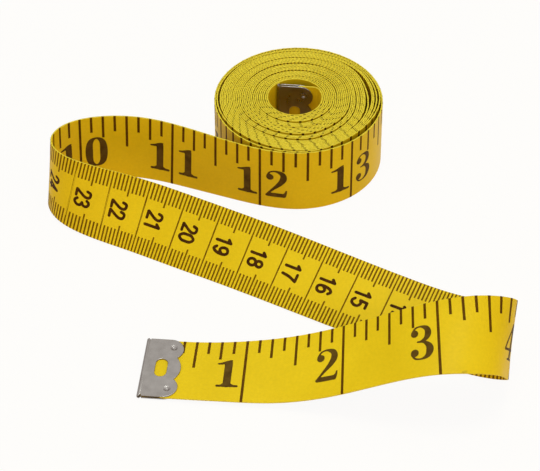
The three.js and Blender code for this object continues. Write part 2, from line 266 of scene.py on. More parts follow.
# Brush strokes of the bold figures on their own grid: points of (x, y, width)
BOLD_GRID = (5.9, 9.3)
BOLD_STROKES = {
    "0": [
        [(2.95, 9.05, 0.5), (1.4, 7.8, 1.6), (1.05, 4.65, 2.1), (1.4, 1.5, 1.6), (2.95, 0.25, 0.5),
         (4.5, 1.5, 1.6), (4.85, 4.65, 2.1), (4.5, 7.8, 1.6), (2.95, 9.05, 0.5)],
    ],
    "1": [
        [(3.2, 7.7, 1.95), (3.2, 0.9, 1.95)],
        [(0.95, 0.35, 0.7), (5.6, 0.35, 0.7)],
        [(0.75, 7.65, 0.5), (1.8, 7.8, 0.7), (2.9, 8.2, 0.9), (3.85, 8.65, 0.55)],
        [(3.5, 8.3, 1.1), (3.6, 7.9, 1.15)],
        [(1.9, 0.55, 0.6), (3.2, 0.75, 1.3), (4.6, 0.55, 0.6)],
    ],
    "2": [
        [(1.35, 6.9, 2.0), (1.36, 6.9, 2.0)],
        [(0.7, 7.3, 0.6), (1.4, 8.6, 0.5), (2.9, 9.0, 0.6), (4.5, 8.2, 1.4), (4.8, 6.6, 1.8),
         (3.9, 4.8, 1.4), (2.2, 2.8, 0.8), (0.6, 0.8, 0.5)],
        [(0.6, 0.55, 0.9), (2.0, 0.75, 1.3), (4.9, 0.75, 1.3)],
        [(4.9, 0.7, 1.3), (5.35, 1.5, 0.7), (5.55, 2.5, 0.4)],
    ],
    "3": [
        [(1.35, 7.3, 1.9), (1.36, 7.3, 1.9)],
        [(0.7, 7.6, 0.5), (1.5, 8.75, 0.5), (2.9, 9.05, 0.5), (4.3, 8.3, 1.3), (4.6, 6.9, 1.6),
         (4.0, 5.6, 1.1), (2.8, 5.0, 0.5), (2.0, 4.95, 0.45)],
        [(2.2, 4.95, 0.45), (3.6, 4.7, 0.7), (4.7, 3.6, 1.5), (4.9, 2.4, 1.8), (4.3, 0.95, 1.2),
         (2.9, 0.25, 0.5), (1.4, 0.5, 0.5), (0.6, 1.6, 0.5)],
        [(1.3, 2.05, 2.0), (1.31, 2.05, 2.0)],
    ],
    "4": [
        [(3.9, 8.9, 0.6), (0.5, 2.9, 0.6)],
        [(0.4, 2.65, 0.6), (5.6, 2.65, 0.6)],
        [(4.1, 8.4, 1.7), (4.1, 0.9, 1.7)],
        [(2.3, 0.26, 0.5), (5.7, 0.26, 0.5)],
    ],
    "5": [
        [(1.2, 8.6, 0.9), (3.0, 8.55, 1.2), (4.9, 8.85, 0.8)],
        [(1.15, 8.8, 0.5), (0.95, 5.0, 0.5)],
        [(1.0, 5.0, 0.5), (2.4, 5.7, 0.7), (4.1, 5.1, 1.4), (4.85, 3.2, 1.9), (4.2, 1.1, 1.3),
         (2.8, 0.25, 0.5), (1.3, 0.5, 0.5), (0.6, 1.7, 0.5)],
        [(1.3, 2.0, 2.0), (1.31, 2.0, 2.0)],
    ],
    "6": [
        [(4.7, 8.3, 0.5), (3.5, 9.05, 0.5), (1.8, 7.6, 1.2), (1.05, 4.6, 1.9), (1.4, 1.8, 1.6),
         (2.9, 0.3, 0.5), (4.5, 1.2, 1.2), (4.95, 2.9, 1.7), (4.3, 4.9, 1.2), (3.0, 5.4, 0.5),
         (1.7, 4.4, 0.5)],
        [(4.4, 7.6, 1.9), (4.41, 7.6, 1.9)],
    ],
    "7": [
        [(0.5, 7.0, 0.35), (0.8, 8.3, 0.9), (2.4, 8.4, 1.5), (4.2, 8.2, 1.1), (5.5, 8.95, 0.6)],
        [(5.4, 8.9, 0.5), (4.2, 6.6, 0.8), (3.2, 4.2, 1.4), (2.8, 1.9, 1.9), (2.8, 0.98, 1.95)],
    ],
    "8": [
        [(3.0, 9.0, 0.5), (1.5, 8.2, 1.3), (1.5, 6.4, 1.4), (3.0, 5.1, 1.2), (4.5, 3.8, 1.4),
         (4.9, 2.2, 1.6), (4.2, 0.8, 1.0), (2.9, 0.3, 0.5), (1.3, 1.0, 1.2), (1.0, 2.5, 1.4),
         (1.7, 4.1, 0.7), (3.2, 5.0, 0.5), (4.3, 6.3, 0.9), (4.2, 8.0, 1.1), (3.0, 9.0, 0.5)],
    ],
}

# Strokes of the plain figures, all of one width
PLAIN_WIDTH = 0.78
PLAIN_GRID = (2.5, 3.9)
PLAIN_STROKES = {
    "0": [[(1.25, 3.58), (0.42, 2.9), (0.33, 1.95), (0.42, 1.0), (1.25, 0.32), (2.08, 1.0),
           (2.17, 1.95), (2.08, 2.9), (1.25, 3.58)]],
    "1": [[(1.4, 3.6), (1.4, 0.3)], [(1.4, 3.6), (0.6, 2.95)]],
    "2": [[(0.38, 2.75), (0.65, 3.42), (1.25, 3.6), (1.95, 3.35), (2.1, 2.7), (1.7, 1.9), (0.42, 0.4)],
          [(0.42, 0.32), (2.18, 0.32)]],
    "3": [[(0.4, 3.05), (0.8, 3.5), (1.4, 3.55), (2.0, 3.1), (1.9, 2.4), (1.2, 2.05)],
          [(1.2, 2.05), (2.0, 1.75), (2.15, 1.0), (1.6, 0.4), (1.0, 0.32), (0.35, 0.8)]],
    "4": [[(1.65, 3.6), (0.36, 1.1)], [(0.36, 1.08), (2.25, 1.08)], [(1.72, 3.6), (1.72, 0.3)]],
    "5": [[(2.05, 3.58), (0.62, 3.58)], [(0.62, 3.58), (0.46, 2.0)],
          [(0.46, 2.0), (1.2, 2.3), (2.0, 1.9), (2.13, 1.15), (1.6, 0.42), (0.95, 0.32), (0.34, 0.75)]],
    "6": [[(2.0, 3.1), (1.3, 3.58), (0.6, 2.95), (0.33, 1.6), (0.6, 0.6), (1.25, 0.32), (1.95, 0.6),
           (2.17, 1.25), (1.85, 1.95), (1.25, 2.15), (0.5, 1.6)]],
    "7": [[(0.32, 3.58), (2.17, 3.58)], [(2.15, 3.5), (1.4, 2.0), (1.05, 0.3)]],
    "8": [[(1.25, 3.58), (0.55, 3.2), (0.6, 2.45), (1.25, 2.1), (1.95, 1.75), (2.15, 1.1), (1.8, 0.5),
           (1.25, 0.32), (0.7, 0.5), (0.35, 1.1), (0.55, 1.75), (1.25, 2.1), (1.9, 2.45), (1.95, 3.2),
           (1.25, 3.58)]],
}


# The tape's path
def anchor_rows():
    """Rows that lay the end of the free tape on the coil's outer wrap."""
    step = ANCHOR_SPACING / COIL_RADIUS
    radius = 6 * COIL_RADIUS / (4 + 2 * math.cos(step))
    angles = [math.radians(LEAVING_ANGLE) + k * step for k in (-1, 0, 1)]
    return [(radius * math.cos(a), radius * math.sin(a), TAPE_WIDTH / 2, 0) for a in angles]


def route_points():
    """Middles and leans of the free tape, along a uniform cubic B-spline."""
    free = [(x, y, lift + TAPE_WIDTH / 2 * math.cos(math.radians(lean)), lean) for x, y, lift, lean in ROUTE]
    rows = np.array(free + anchor_rows(), float)
    spans = len(rows) - 3
    f = np.arange(SAMPLES_PER_SPAN)[:, None] / SAMPLES_PER_SPAN
    weights = np.stack([(1 - f) ** 3, 3 * f**3 - 6 * f**2 + 4, -3 * f**3 + 3 * f**2 + 3 * f + 1, f**3]) / 6
    parts = [sum(weights[j] * rows[i + j] for j in range(4)) for i in range(spans)]
    points = np.vstack(parts)
    return points[:, :3], points[:, 3]


def eye_radius(angle):
    """How far the innermost wrap lies from the coil's axis."""
    (cx, cy), (rx, ry) = EYE_CENTRE, EYE_RADII
    c, s = np.cos(angle), np.sin(angle)
    a = (c / rx) ** 2 + (s / ry) ** 2
    b = c * cx / rx**2 + s * cy / ry**2
    rest = (cx / rx) ** 2 + (cy / ry) ** 2 - 1
    return (b + np.sqrt(b**2 - a * rest)) / a


def outer_radius(angle):
    """The coil's outline, fuller at the back and flatter at the left."""
    bulge = BACK_BULGE * ((1 + np.sin(angle)) / 2) ** 3
    return COIL_RADIUS + bulge - LEFT_FLAT * ((1 - np.cos(angle)) / 2) ** 3


def sprung_gap(turns):
    """The gap inside the tape where the wraps have sprung apart."""
    gap = np.zeros_like(turns)
    for middle, spread, width in LOOSE_GAPS:
        share = np.clip((turns - middle) / spread, -1, 1)
        gap += width * np.cos(share * math.pi / 2) ** 2
    return gap


def share_of_room(turns, wraps):
    """How the room that is left between the wraps is shared among the gaps."""
    waves = np.zeros_like(turns)
    for height, number, start in SHARE_WAVES:
        waves += height * np.sin(2 * math.pi * (number * turns + start))
    return (SHARE_MIDDLE + waves) * (SHARE_OUTSIDE + SHARE_GROWTH * turns / wraps)


def coil_points():
    """Middles of the wraps, from where the tape leaves the coil to where its tail begins."""
    wraps = WHOLE_WRAPS + (TAIL_ANGLE - LEAVING_ANGLE) / 360
    turns = np.arange(round(wraps * STEPS_PER_WRAP) + 1) / STEPS_PER_WRAP
    angle = math.radians(LEAVING_ANGLE) + 2 * math.pi * turns
    sprung = sprung_gap(turns)
    share = share_of_room(turns, wraps)
    radius = np.zeros_like(turns)
    fall = 0.0
    for first in range(STEPS_PER_WRAP):
        ray = np.arange(first, len(turns), STEPS_PER_WRAP)
        gaps = sprung[ray[:-1]]
        lead = outer_radius(angle[first]) - fall * turns[first]
        inner = eye_radius(angle[ray[-1]]) + (turns[-1] - turns[ray[-1]]) * (TAPE_THICKNESS + INNER_GAP)
        room = lead - inner - TAPE_THICKNESS * len(gaps) - gaps.sum()
        gaps = gaps + room * share[ray[:-1]] / share[ray[:-1]].sum()
        radius[ray] = lead - np.concatenate([[0], np.cumsum(TAPE_THICKNESS + gaps)])
        if first == 0:
            fall = radius[0] - radius[STEPS_PER_WRAP]
    height = np.full_like(radius, TAPE_WIDTH / 2)
    return np.column_stack([radius * np.cos(angle), radius * np.sin(angle), height])


def tail_points(start, heading):
    """Middles of the tail: a bend off the last wrap, then the straight end that the tip holds."""
    last_heading = math.radians(TAIL_HEADING)
    turn = last_heading - heading
    count = round(turn * TAIL_BEND_RADIUS / TAIL_STEP)
    headings = heading + turn * np.arange(1, count + 1) / count
    hub = start[:2] + TAIL_BEND_RADIUS * np.array([-math.sin(heading), math.cos(heading)])
    bend = hub + TAIL_BEND_RADIUS * np.column_stack([np.sin(headings), -np.cos(headings)])
    reach = np.arange(TAIL_STEP, TIP_LENGTH + TAIL_MARGIN, TAIL_STEP)[:, None]
    straight = bend[-1] + reach * np.array([math.cos(last_heading), math.sin(last_heading)])
    plan = np.vstack([bend, straight])
    return np.column_stack([plan, np.full(len(plan), TAPE_WIDTH / 2)])


def unit(rows):
    return rows / np.linalg.norm(rows, axis=1)[:, None]


route, route_lean = route_points()
coil = coil_points()
last_step = coil[-1] - coil[-2]
tail = tail_points(coil[-1], math.atan2(last_step[1], last_step[0]) % (2 * math.pi))
path_centre = np.vstack([route, coil, tail])
path_lean = np.radians(np.concatenate([route_lean, np.zeros(len(coil) + len(tail))]))
path_distance = np.concatenate([[0], np.cumsum(np.linalg.norm(np.diff(path_centre, axis=0), axis=1))])
path_along = unit(np.gradient(path_centre, axis=0))
path_upright = unit(np.array([0, 0, 1]) - path_along * path_along[:, 2:])
path_side = np.cross(path_along, path_upright)
path_across = path_upright * np.cos(path_lean)[:, None] + path_side * np.sin(path_lean)[:, None]
coil_start = path_distance[len(route)]
tail_start = path_distance[len(route) + len(coil) - 1]
tape_end = path_distance[-1]


def along_path(rows, distance):
    return np.column_stack([np.interp(distance, path_distance, rows[:, k]) for k in range(3)])


def place(distance, across, height):
    """Points of the frame, in metres, at a distance along the tape, a place across it and a height off it."""
    distance = np.asarray(distance, float)
    way = unit(along_path(path_along, distance))
    up = unit(along_path(path_across, distance))
    normal = np.cross(way, up)
    offset = up * np.reshape(across, (-1, 1)) + normal * np.reshape(height, (-1, 1))
    return (along_path(path_centre, distance) + COIL_AXIS + offset) * MM


# Meshes
def mesh_object(name, points, faces, materials, face_materials=None):
    mesh = bpy.data.meshes.new(name)
    mesh.from_pydata([tuple(p) for p in points], [], faces)
    for material in materials:
        mesh.materials.append(material)
    if face_materials is not None:
        mesh.polygons.foreach_set("material_index", face_materials)
    piece = bpy.data.objects.new(name, mesh)
    bpy.context.scene.collection.objects.link(piece)
    return piece


def tape_section(strips):
    """The tape's cross-section: places across it and heights, with rounded edges and faces in strips."""
    half, thick, r = TAPE_WIDTH / 2, TAPE_THICKNESS / 2, EDGE_ROUNDING
    places = np.linspace(-half + r, half - r, strips + 1)
    back = [(a, -thick) for a in places]
    front = [(a, thick) for a in places[::-1]]
    return back + [(half, -thick + r), (half, thick - r)] + front + [(-half, thick - r), (-half, -thick + r)]


def end_cells(strips):
    """The cross-section in four-sided cells, as places in its outline."""
    last = 2 * strips + 3
    between = [(k, k + 1, last - k - 1, last - k) for k in range(strips)]
    return between + [(strips, strips + 1, strips + 2, strips + 3), (last, last + 1, last + 2, 0)]


def half_width(distance):
    """Half the tape's width, which is tucked in under a metal tip."""
    depth = np.minimum(distance, tape_end - distance)
    share = np.clip((depth - TUCK_START) / (TUCK_END - TUCK_START), 0, 1)
    return TAPE_WIDTH / 2 - TIP_TUCK * (1 - share)


def ribbon(name, start, end, step, strips):
    """A closed length of tape."""
    section = tape_section(strips)
    sides = len(section)
    second_face = strips + 3
    count = max(2, math.ceil((end - start) / step))
    stations = np.linspace(start, end, count + 1)
    drawn_in = half_width(stations) / (TAPE_WIDTH / 2)
    rings = np.stack([place(stations, a * drawn_in, np.full(count + 1, h)) for a, h in section], axis=1)
    faces = []
    kinds = []
    for i in range(count):
        for k in range(sides):
            a, b = i * sides + k, i * sides + (k + 1) % sides
            faces.append((a, b, b + sides, a + sides))
            kinds.append(0 if k < strips or second_face <= k < second_face + strips else 1)
    for cell in end_cells(strips):
        faces += [cell[::-1], tuple(count * sides + k for k in cell)]
        kinds += [1, 1]
    piece = mesh_object(name, rings.reshape(-1, 3), faces, [tape_material, edge_material], kinds)
    mesh = piece.data
    mesh.polygons.foreach_set("use_smooth", [True] * len(mesh.polygons))
    ends = np.array([e.vertices[:] for e in mesh.edges])
    lengthwise = ends[:, 0] % sides == ends[:, 1] % sides
    within_face = ((ends[:, 0] - 1) % second_face % sides) < strips - 1
    capping = (ends.max(axis=1) < sides) | (ends.min(axis=1) >= count * sides)
    sharp = mesh.attributes.new("sharp_edge", "BOOLEAN", "EDGE")
    sharp.data.foreach_set("value", (lengthwise & ~within_face) | capping)
    across = np.tile([a for a, _ in section], count + 1)
    distance = np.repeat(stations, sides)
    corners = np.zeros(len(mesh.loops), int)
    mesh.loops.foreach_get("vertex_index", corners)
    layout = mesh.uv_layers.new(name="tape")
    layout.data.foreach_set("uv", np.column_stack([distance, across])[corners].ravel() * MM)
    return piece


# Figures, drawn with a brush and cut into small cells that follow the tape
def smooth_stroke(points, steps=12):
    """A stroke's points on a Catmull-Rom curve, or the straight line between two."""
    rows = np.array(points, float)
    if len(rows) == 2:
        share = np.linspace(0, 1, 2 * steps)[:, None]
        return rows[0] + (rows[1] - rows[0]) * share
    closed = np.allclose(rows[0], rows[-1])
    before = rows[-2] if closed else 2 * rows[0] - rows[1]
    after = rows[1] if closed else 2 * rows[-1] - rows[-2]
    rows = np.vstack([before, rows, after])
    t = np.arange(steps)[:, None] / steps
    curve = []
    for p0, p1, p2, p3 in zip(rows, rows[1:], rows[2:], rows[3:]):
        curve.append(0.5 * (2 * p1 + (p2 - p0) * t + (2 * p0 - 5 * p1 + 4 * p2 - p3) * t**2
                            + (3 * p1 - p0 - 3 * p2 + p3) * t**3))
    return np.vstack(curve + [rows[-2]])


def inked(strokes, x, y):
    """Below zero where the brush has been: the distance to its nearest mark."""
    least = np.full(x.shape, np.inf)
    for stroke in strokes:
        for px, py, width in smooth_stroke(stroke):
            least = np.minimum(least, np.hypot(x - px, y - py) - width / 2)
    return least


def signed_area(mark):
    x, y = mark[:, 0], mark[:, 1]
    return 0.5 * float(np.sum(x * np.roll(y, -1) - y * np.roll(x, -1)))


def figure_cells(strokes, size, cell):
    """The brushed area as small polygons, cut along its outline."""
    xs = np.arange(-cell, size[0] + 2 * cell, cell)
    ys = np.arange(-cell, size[1] + 2 * cell, cell)
    gx, gy = np.meshgrid(xs, ys, indexing="ij")
    depth = inked(strokes, gx, gy)
    cells = []
    for i in range(len(xs) - 1):
        for j in range(len(ys) - 1):
            ring = [(i, j), (i + 1, j), (i + 1, j + 1), (i, j + 1)]
            values = [depth[k] for k in ring]
            if min(values) >= 0:
                continue
            outline = []
            for k in range(4):
                here, there = ring[k], ring[(k + 1) % 4]
                a, b = values[k], values[(k + 1) % 4]
                p = np.array([xs[here[0]], ys[here[1]]])
                q = np.array([xs[there[0]], ys[there[1]]])
                if a < 0:
                    outline.append(p)
                if (a < 0) != (b < 0):
                    outline.append(p + (q - p) * a / (a - b))
            if signed_area(np.array(outline)) > LEAST_CELL:
                cells.append(np.array(outline))
    return cells


def figure_set(strokes_of, grid, size, cell):
    """Cells of each figure, drawn at its size; a nine is a six turned round."""
    strokes_of = dict(strokes_of)
    strokes_of["9"] = [[(grid[0] - x, grid[1] - y, w) for x, y, w in stroke] for stroke in strokes_of["6"]]
    across, up = size[0] / grid[0], size[1] / grid[1]
    cells_of = {}
    for name, strokes in strokes_of.items():
        sized = [[(x * across, y * up, w) for x, y, w in stroke] for stroke in strokes]
        cells_of[name] = figure_cells(sized, size, cell)
    return cells_of


bold_figures = figure_set(BOLD_STROKES, BOLD_GRID, INCH_DIGIT_SIZE, INCH_DIGIT_CELL)
plain_strokes = {name: [[(x, y, PLAIN_WIDTH) for x, y in stroke] for stroke in strokes]
                 for name, strokes in PLAIN_STROKES.items()}
plain_figures = figure_set(plain_strokes, PLAIN_GRID, CM_DIGIT_SIZE, CM_DIGIT_CELL)


# Print, as polygons of (distance, place across, depth below the face) on each face
def flat_mark(points):
    return np.column_stack([points, np.zeros(len(points))])


def bar(distance, width, low, high, over=1.0):
    """A line across the tape; where it reaches an edge it runs on over a share of the rounding."""
    half, r = TAPE_WIDTH / 2, EDGE_ROUNDING
    a, b = distance - width / 2, distance + width / 2
    rim = half - r + over * (r + INK_HEIGHT)
    drop = over * r
    inner_low, inner_high = max(low, r - half), min(high, half - r)
    marks = [flat_mark([(a, inner_low), (b, inner_low), (b, inner_high), (a, inner_high)])]
    if high >= half:
        marks.append(np.array([(a, half - r, 0), (b, half - r, 0), (b, rim, drop), (a, rim, drop)]))
    if low <= -half:
        marks.append(np.array([(a, -rim, drop), (b, -rim, drop), (b, r - half, 0), (a, r - half, 0)]))
    return marks


def drift(distance):
    """How far the inch print has wandered off across the tape."""
    share = np.clip((distance - DRIFT_START) / (DRIFT_END - DRIFT_START), 0, 1)
    return PRINT_DRIFT * share**2 * (3 - 2 * share)


def inch_lines():
    half = TAPE_WIDTH / 2
    marks = []
    for i in range(1, 8 * TAPE_INCHES):
        distance = i * INCH / 8
        if not TUCK_END < distance < tape_end - TUCK_END:
            continue
        length = EIGHTH_TICK
        if i % 8 == 0:
            length = TAPE_WIDTH
        elif i % 4 == 0:
            length = HALF_TICK
        elif i % 2 == 0:
            length = QUARTER_TICK
        low = max(half - length - drift(distance), -half)
        marks += bar(distance, INCH_TICK_WIDTH, low, half)
    return marks


def inch_figures(low, high):
    """Numbers that straddle their line once they have more than one figure."""
    marks = []
    for inch in range(1, TAPE_INCHES):
        line = inch * INCH
        if not low < line < high:
            continue
        name = str(inch)
        width = INCH_DIGIT_SIZE[0]
        if len(name) == 1:
            lefts = [line - LONE_DIGIT_SPACE - width]
        else:
            lefts = [line - DIGIT_BEFORE_LINE - width, line + DIGIT_AFTER_LINE]
        base = INCH_DIGIT_BASE - drift(line)
        for figure, left in zip(name, lefts):
            marks += [flat_mark(cell + (left, base)) for cell in bold_figures[figure]]
    return marks


def centimetre_lines():
    half = TAPE_WIDTH / 2
    marks = []
    for mm in range(math.ceil(TUCK_END), int(tape_end - BARE_END)):
        if mm % 10 == 0:
            marks += bar(mm, CM_LINE_WIDTH, -half, half, FINE_OVER)
            continue
        length = FIVE_MM_TICK if mm % 5 == 0 else MM_TICK
        marks += bar(mm, MM_TICK_WIDTH, half - length, half, FINE_OVER)
        marks += bar(mm, MM_TICK_WIDTH, -half, length - half, FINE_OVER)
    return marks


def centimetre_figures(low, high):
    """Numbers that read across the tape, on the lower side of their line."""
    marks = []
    for centimetre in range(1, int(TAPE_INCHES * INCH / 10)):
        line = centimetre * 10
        if not low < line < high:
            continue
        name = str(centimetre)
        extent = CM_DIGIT_PITCH * (len(name) - 1) + CM_DIGIT_SIZE[0]
        for k, figure in enumerate(name):
            top = extent / 2 - k * CM_DIGIT_PITCH
            for cell in plain_figures[figure]:
                turned = np.column_stack([line - CM_DIGIT_SPACE - cell[:, 1], top - cell[:, 0]])
                marks.append(flat_mark(turned))
    return marks


def tape_print(name, marks, side, start, end, material):
    """The marks between two distances, raised off one face of the tape."""
    points = []
    faces = []
    for mark in marks:
        middle = mark[:, 0].mean()
        if start <= middle < end:
            first = len(points)
            points += [tuple(p) for p in mark]
            faces.append(tuple(range(first, first + len(mark))))
    if not points:
        return None
    rows = np.array(points)
    height = side * (TAPE_THICKNESS / 2 + INK_HEIGHT - rows[:, 2])
    placed = place(rows[:, 0], rows[:, 1], height)
    turned = side * signed_area(marks[0]) < 0
    if turned:
        faces = [face[::-1] for face in faces]
    return mesh_object(name, placed, faces, [material])


# Materials: colours as linear red, green and blue, noise scales as features in a metre, lengths in metres
BLACK = (0, 0, 0)
WHITE = (1, 1, 1)
CLOTH_DEEP = (0.78, 0.545, 0.006)
CLOTH_PALE = (0.86, 0.61, 0.010)
CLOTH_GRAIN = (0.93, 0.93, 0.90)
CLOTH_STAIN = (0.45, 0.30, 0.02, 1)
THREAD_PITCH = 0.0006
GRAIN_IN_WEAVE = 1.5
EDGE_DEEP = (0.67, 0.51, 0.010)
EDGE_PALE = (0.79, 0.64, 0.035)
PLATE_DARK = (0.245, 0.213, 0.195)
PLATE_LIGHT = (0.295, 0.26, 0.238)
ROLLING_SCALES = (300.0, 3200.0, 300.0)
SCUFFS_IN_PLATE = 0.5


class Nodes:
    """A material's node tree, with short calls to add and join nodes."""

    def __init__(self, name):
        self.material = bpy.data.materials.new(name)
        self.material.use_nodes = True
        self.tree = self.material.node_tree
        self.shader = self.tree.nodes["Principled BSDF"]

    def add(self, kind, **values):
        node = self.tree.nodes.new(kind)
        for key, value in values.items():
            if key in node.inputs:
                node.inputs[key].default_value = value
            else:
                setattr(node, key, value)
        return node

    def join(self, source, target):
        self.tree.links.new(source, target)

    def set(self, **values):
        for key, value in values.items():
            self.shader.inputs[key.replace("_", " ")].default_value = value

    def noise(self, vector, scale, detail=2.0):
        node = self.add("ShaderNodeTexNoise", Scale=scale, Detail=detail)
        self.join(vector, node.inputs["Vector"])
        return node.outputs["Fac"]

    def ramp(self, factor, stops):
        node = self.add("ShaderNodeValToRGB")
        elements = node.color_ramp.elements
        while len(elements) < len(stops):
            elements.new(0.5)
        for element, (at, colour) in zip(elements, stops):
            element.position = at
            element.color = (*colour, 1)
        self.join(factor, node.inputs["Fac"])
        return node.outputs["Color"]

    def mix(self, factor, a, b, blend="MIX"):
        node = self.add("ShaderNodeMix", data_type="RGBA", blend_type=blend)
        for source, target in ((factor, node.inputs["Factor"]), (a, node.inputs["A"]), (b, node.inputs["B"])):
            if isinstance(source, bpy.types.NodeSocket):
                self.join(source, target)
            else:
                target.default_value = source
        return node.outputs["Result"]

    def range(self, factor, low, high):
        node = self.add("ShaderNodeMapRange")
        node.inputs["To Min"].default_value = low
        node.inputs["To Max"].default_value = high
        self.join(factor, node.inputs["Value"])
        return node.outputs["Result"]

    def math(self, operation, a, b=0.0):
        node = self.add("ShaderNodeMath", operation=operation)
        for source, target in ((a, node.inputs[0]), (b, node.inputs[1])):
            if isinstance(source, bpy.types.NodeSocket):
                self.join(source, target)
            else:
                target.default_value = source
        return node.outputs["Value"]

    def bump(self, height, strength, distance):
        node = self.add("ShaderNodeBump", Strength=strength, Distance=distance)
        self.join(height, node.inputs["Height"])
        self.join(node.outputs["Normal"], self.shader.inputs["Normal"])


def coated_cloth():
    """Satin yellow coating with a faint weave and small stains."""
    nodes = Nodes("coated_cloth")
    place_uv = nodes.add("ShaderNodeUVMap", uv_map="tape").outputs["UV"]
    where = nodes.add("ShaderNodeTexCoord").outputs["Object"]
    patches = nodes.noise(where, scale=55.0, detail=3.0)
    grain = nodes.noise(where, scale=1400.0, detail=2.0)
    broad = nodes.ramp(patches, [(0.3, CLOTH_DEEP), (0.7, CLOTH_PALE)])
    fine = nodes.ramp(grain, [(0.25, CLOTH_GRAIN), (0.75, WHITE)])
    coloured = nodes.mix(1.0, broad, fine, "MULTIPLY")
    spots = nodes.noise(where, scale=230.0, detail=2.0)
    stains = nodes.ramp(spots, [(0.76, BLACK), (0.82, WHITE)])
    stained = nodes.mix(stains, coloured, CLOTH_STAIN)
    nodes.join(stained, nodes.shader.inputs["Base Color"])
    split = nodes.add("ShaderNodeSeparateXYZ")
    nodes.join(place_uv, split.inputs["Vector"])
    warp = nodes.math("SINE", nodes.math("MULTIPLY", split.outputs["X"], 2 * math.pi / THREAD_PITCH))
    weft = nodes.math("SINE", nodes.math("MULTIPLY", split.outputs["Y"], 2 * math.pi / THREAD_PITCH))
    weave = nodes.math("MULTIPLY", warp, weft)
    relief = nodes.math("ADD", weave, nodes.math("MULTIPLY", grain, GRAIN_IN_WEAVE))
    nodes.bump(relief, strength=0.10, distance=0.00006)
    nodes.join(nodes.range(patches, low=0.36, high=0.5), nodes.shader.inputs["Roughness"])
    nodes.set(Specular_IOR_Level=0.1)
    return nodes.material


def cut_edge():
    """The slit edge of the tape, paler where the cloth shows in the coating."""
    nodes = Nodes("cut_edge")
    where = nodes.add("ShaderNodeTexCoord").outputs["Object"]
    threads = nodes.noise(where, scale=2600.0, detail=2.0)
    colour = nodes.ramp(threads, [(0.3, EDGE_DEEP), (0.7, EDGE_PALE)])
    nodes.join(colour, nodes.shader.inputs["Base Color"])
    nodes.bump(threads, strength=0.3, distance=0.00005)
    nodes.set(Roughness=0.6, Specular_IOR_Level=0.35)
    return nodes.material


def ink(name, light, dark, scale):
    """Printed ink, uneven where it has taken thinly."""
    nodes = Nodes(name)
    where = nodes.add("ShaderNodeTexCoord").outputs["Object"]
    cover = nodes.noise(where, scale, detail=3.0)
    colour = nodes.ramp(cover, [(0.35, dark), (0.72, light)])
    nodes.join(colour, nodes.shader.inputs["Base Color"])
    nodes.join(nodes.range(cover, low=0.42, high=0.6), nodes.shader.inputs["Roughness"])
    nodes.bump(cover, strength=0.08, distance=0.00005)
    nodes.set(Specular_IOR_Level=0.05)
    return nodes.material


def plated_metal():
    """Satin nickel plate with fine rolling marks and handling scuffs."""
    nodes = Nodes("plated_metal")
    where = nodes.add("ShaderNodeTexCoord").outputs["Object"]
    stretch = nodes.add("ShaderNodeMapping")
    stretch.inputs["Scale"].default_value = ROLLING_SCALES
    nodes.join(where, stretch.inputs["Vector"])
    marks = nodes.noise(stretch.outputs["Vector"], scale=1.0, detail=3.0)
    scuffs = nodes.noise(where, scale=420.0, detail=4.0)
    colour = nodes.ramp(scuffs, [(0.3, PLATE_DARK), (0.7, PLATE_LIGHT)])
    nodes.join(colour, nodes.shader.inputs["Base Color"])
    nodes.join(nodes.range(scuffs, low=0.22, high=0.36), nodes.shader.inputs["Roughness"])
    relief = nodes.math("ADD", marks, nodes.math("MULTIPLY", scuffs, SCUFFS_IN_PLATE))
    nodes.bump(relief, strength=0.25, distance=0.00005)
    nodes.set(Metallic=1.0)
    return nodes.material


tape_material = coated_cloth()
edge_material = cut_edge()
line_ink = ink("line_ink", light=(0.135, 0.058, 0.001), dark=(0.09, 0.036, 0.001), scale=700.0)
fine_ink = ink("fine_ink", light=(0.22, 0.115, 0.002), dark=(0.14, 0.064, 0.001), scale=700.0)
figure_ink = ink("figure_ink", light=(0.13, 0.074, 0.012), dark=(0.078, 0.040, 0.004), scale=500.0)
plain_ink = ink("plain_ink", light=(0.085, 0.033, 0.002), dark=(0.042, 0.013, 0.001), scale=600.0)
tip_material = plated_metal()


# The lengths of tape, each given a bend line between two bodies
def dress(piece, bodies, bend):
    """Puts a piece on its body, or bakes its placement into its mesh when it has a bend line."""
    if bend is None:
        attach(piece, bodies[0])
        return
    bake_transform(piece)


# Each length: name, start and end, bodies, the bend line between them and its reach, and CAD nodes
tail_seam = tail_start - TAIL_SEAM_SETBACK
LENGTHS = [
    ("start_end_tape", TIP_HALF_THICKNESS, START_END_SEAM,
     ("start_end", "lead"), TIP_BEND, TIP_BEND_REACH, ["tape_start_end"]),
    ("leading_tape", START_END_SEAM, LEAD_SEAM,
     ("lead", "fold"), FOLD_FRONT_BEND, BEND_REACH, ["leading_run"]),
    ("fold_tape", LEAD_SEAM, FOLD_SEAM,
     ("fold", "return"), FOLD_BACK_BEND, BEND_REACH, ["right_fold"]),
    ("return_tape", FOLD_SEAM, RETURN_SEAM,
     ("return", "loop"), LOOP_FRONT_BEND, BEND_REACH, ["return_run"]),
    ("loop_tape", RETURN_SEAM, LOOP_SEAM,
     ("loop", "outgoing"), LOOP_BACK_BEND, BEND_REACH, ["left_loop"]),
    ("outgoing_tape", LOOP_SEAM, COIL_SEAM,
     ("outgoing", "coil"), PEEL_BEND, PEEL_REACH, ["outgoing_run"]),
    ("coil_tape", COIL_SEAM, tail_seam,
     ("coil",), None, 0.0, ["tape_coil"]),
    ("inner_end_tape", tail_seam, tape_end - TIP_HALF_THICKNESS,
     ("coil", "inner_end"), tail_start, TAIL_BEND_REACH, ["tape_inner_end"]),
]

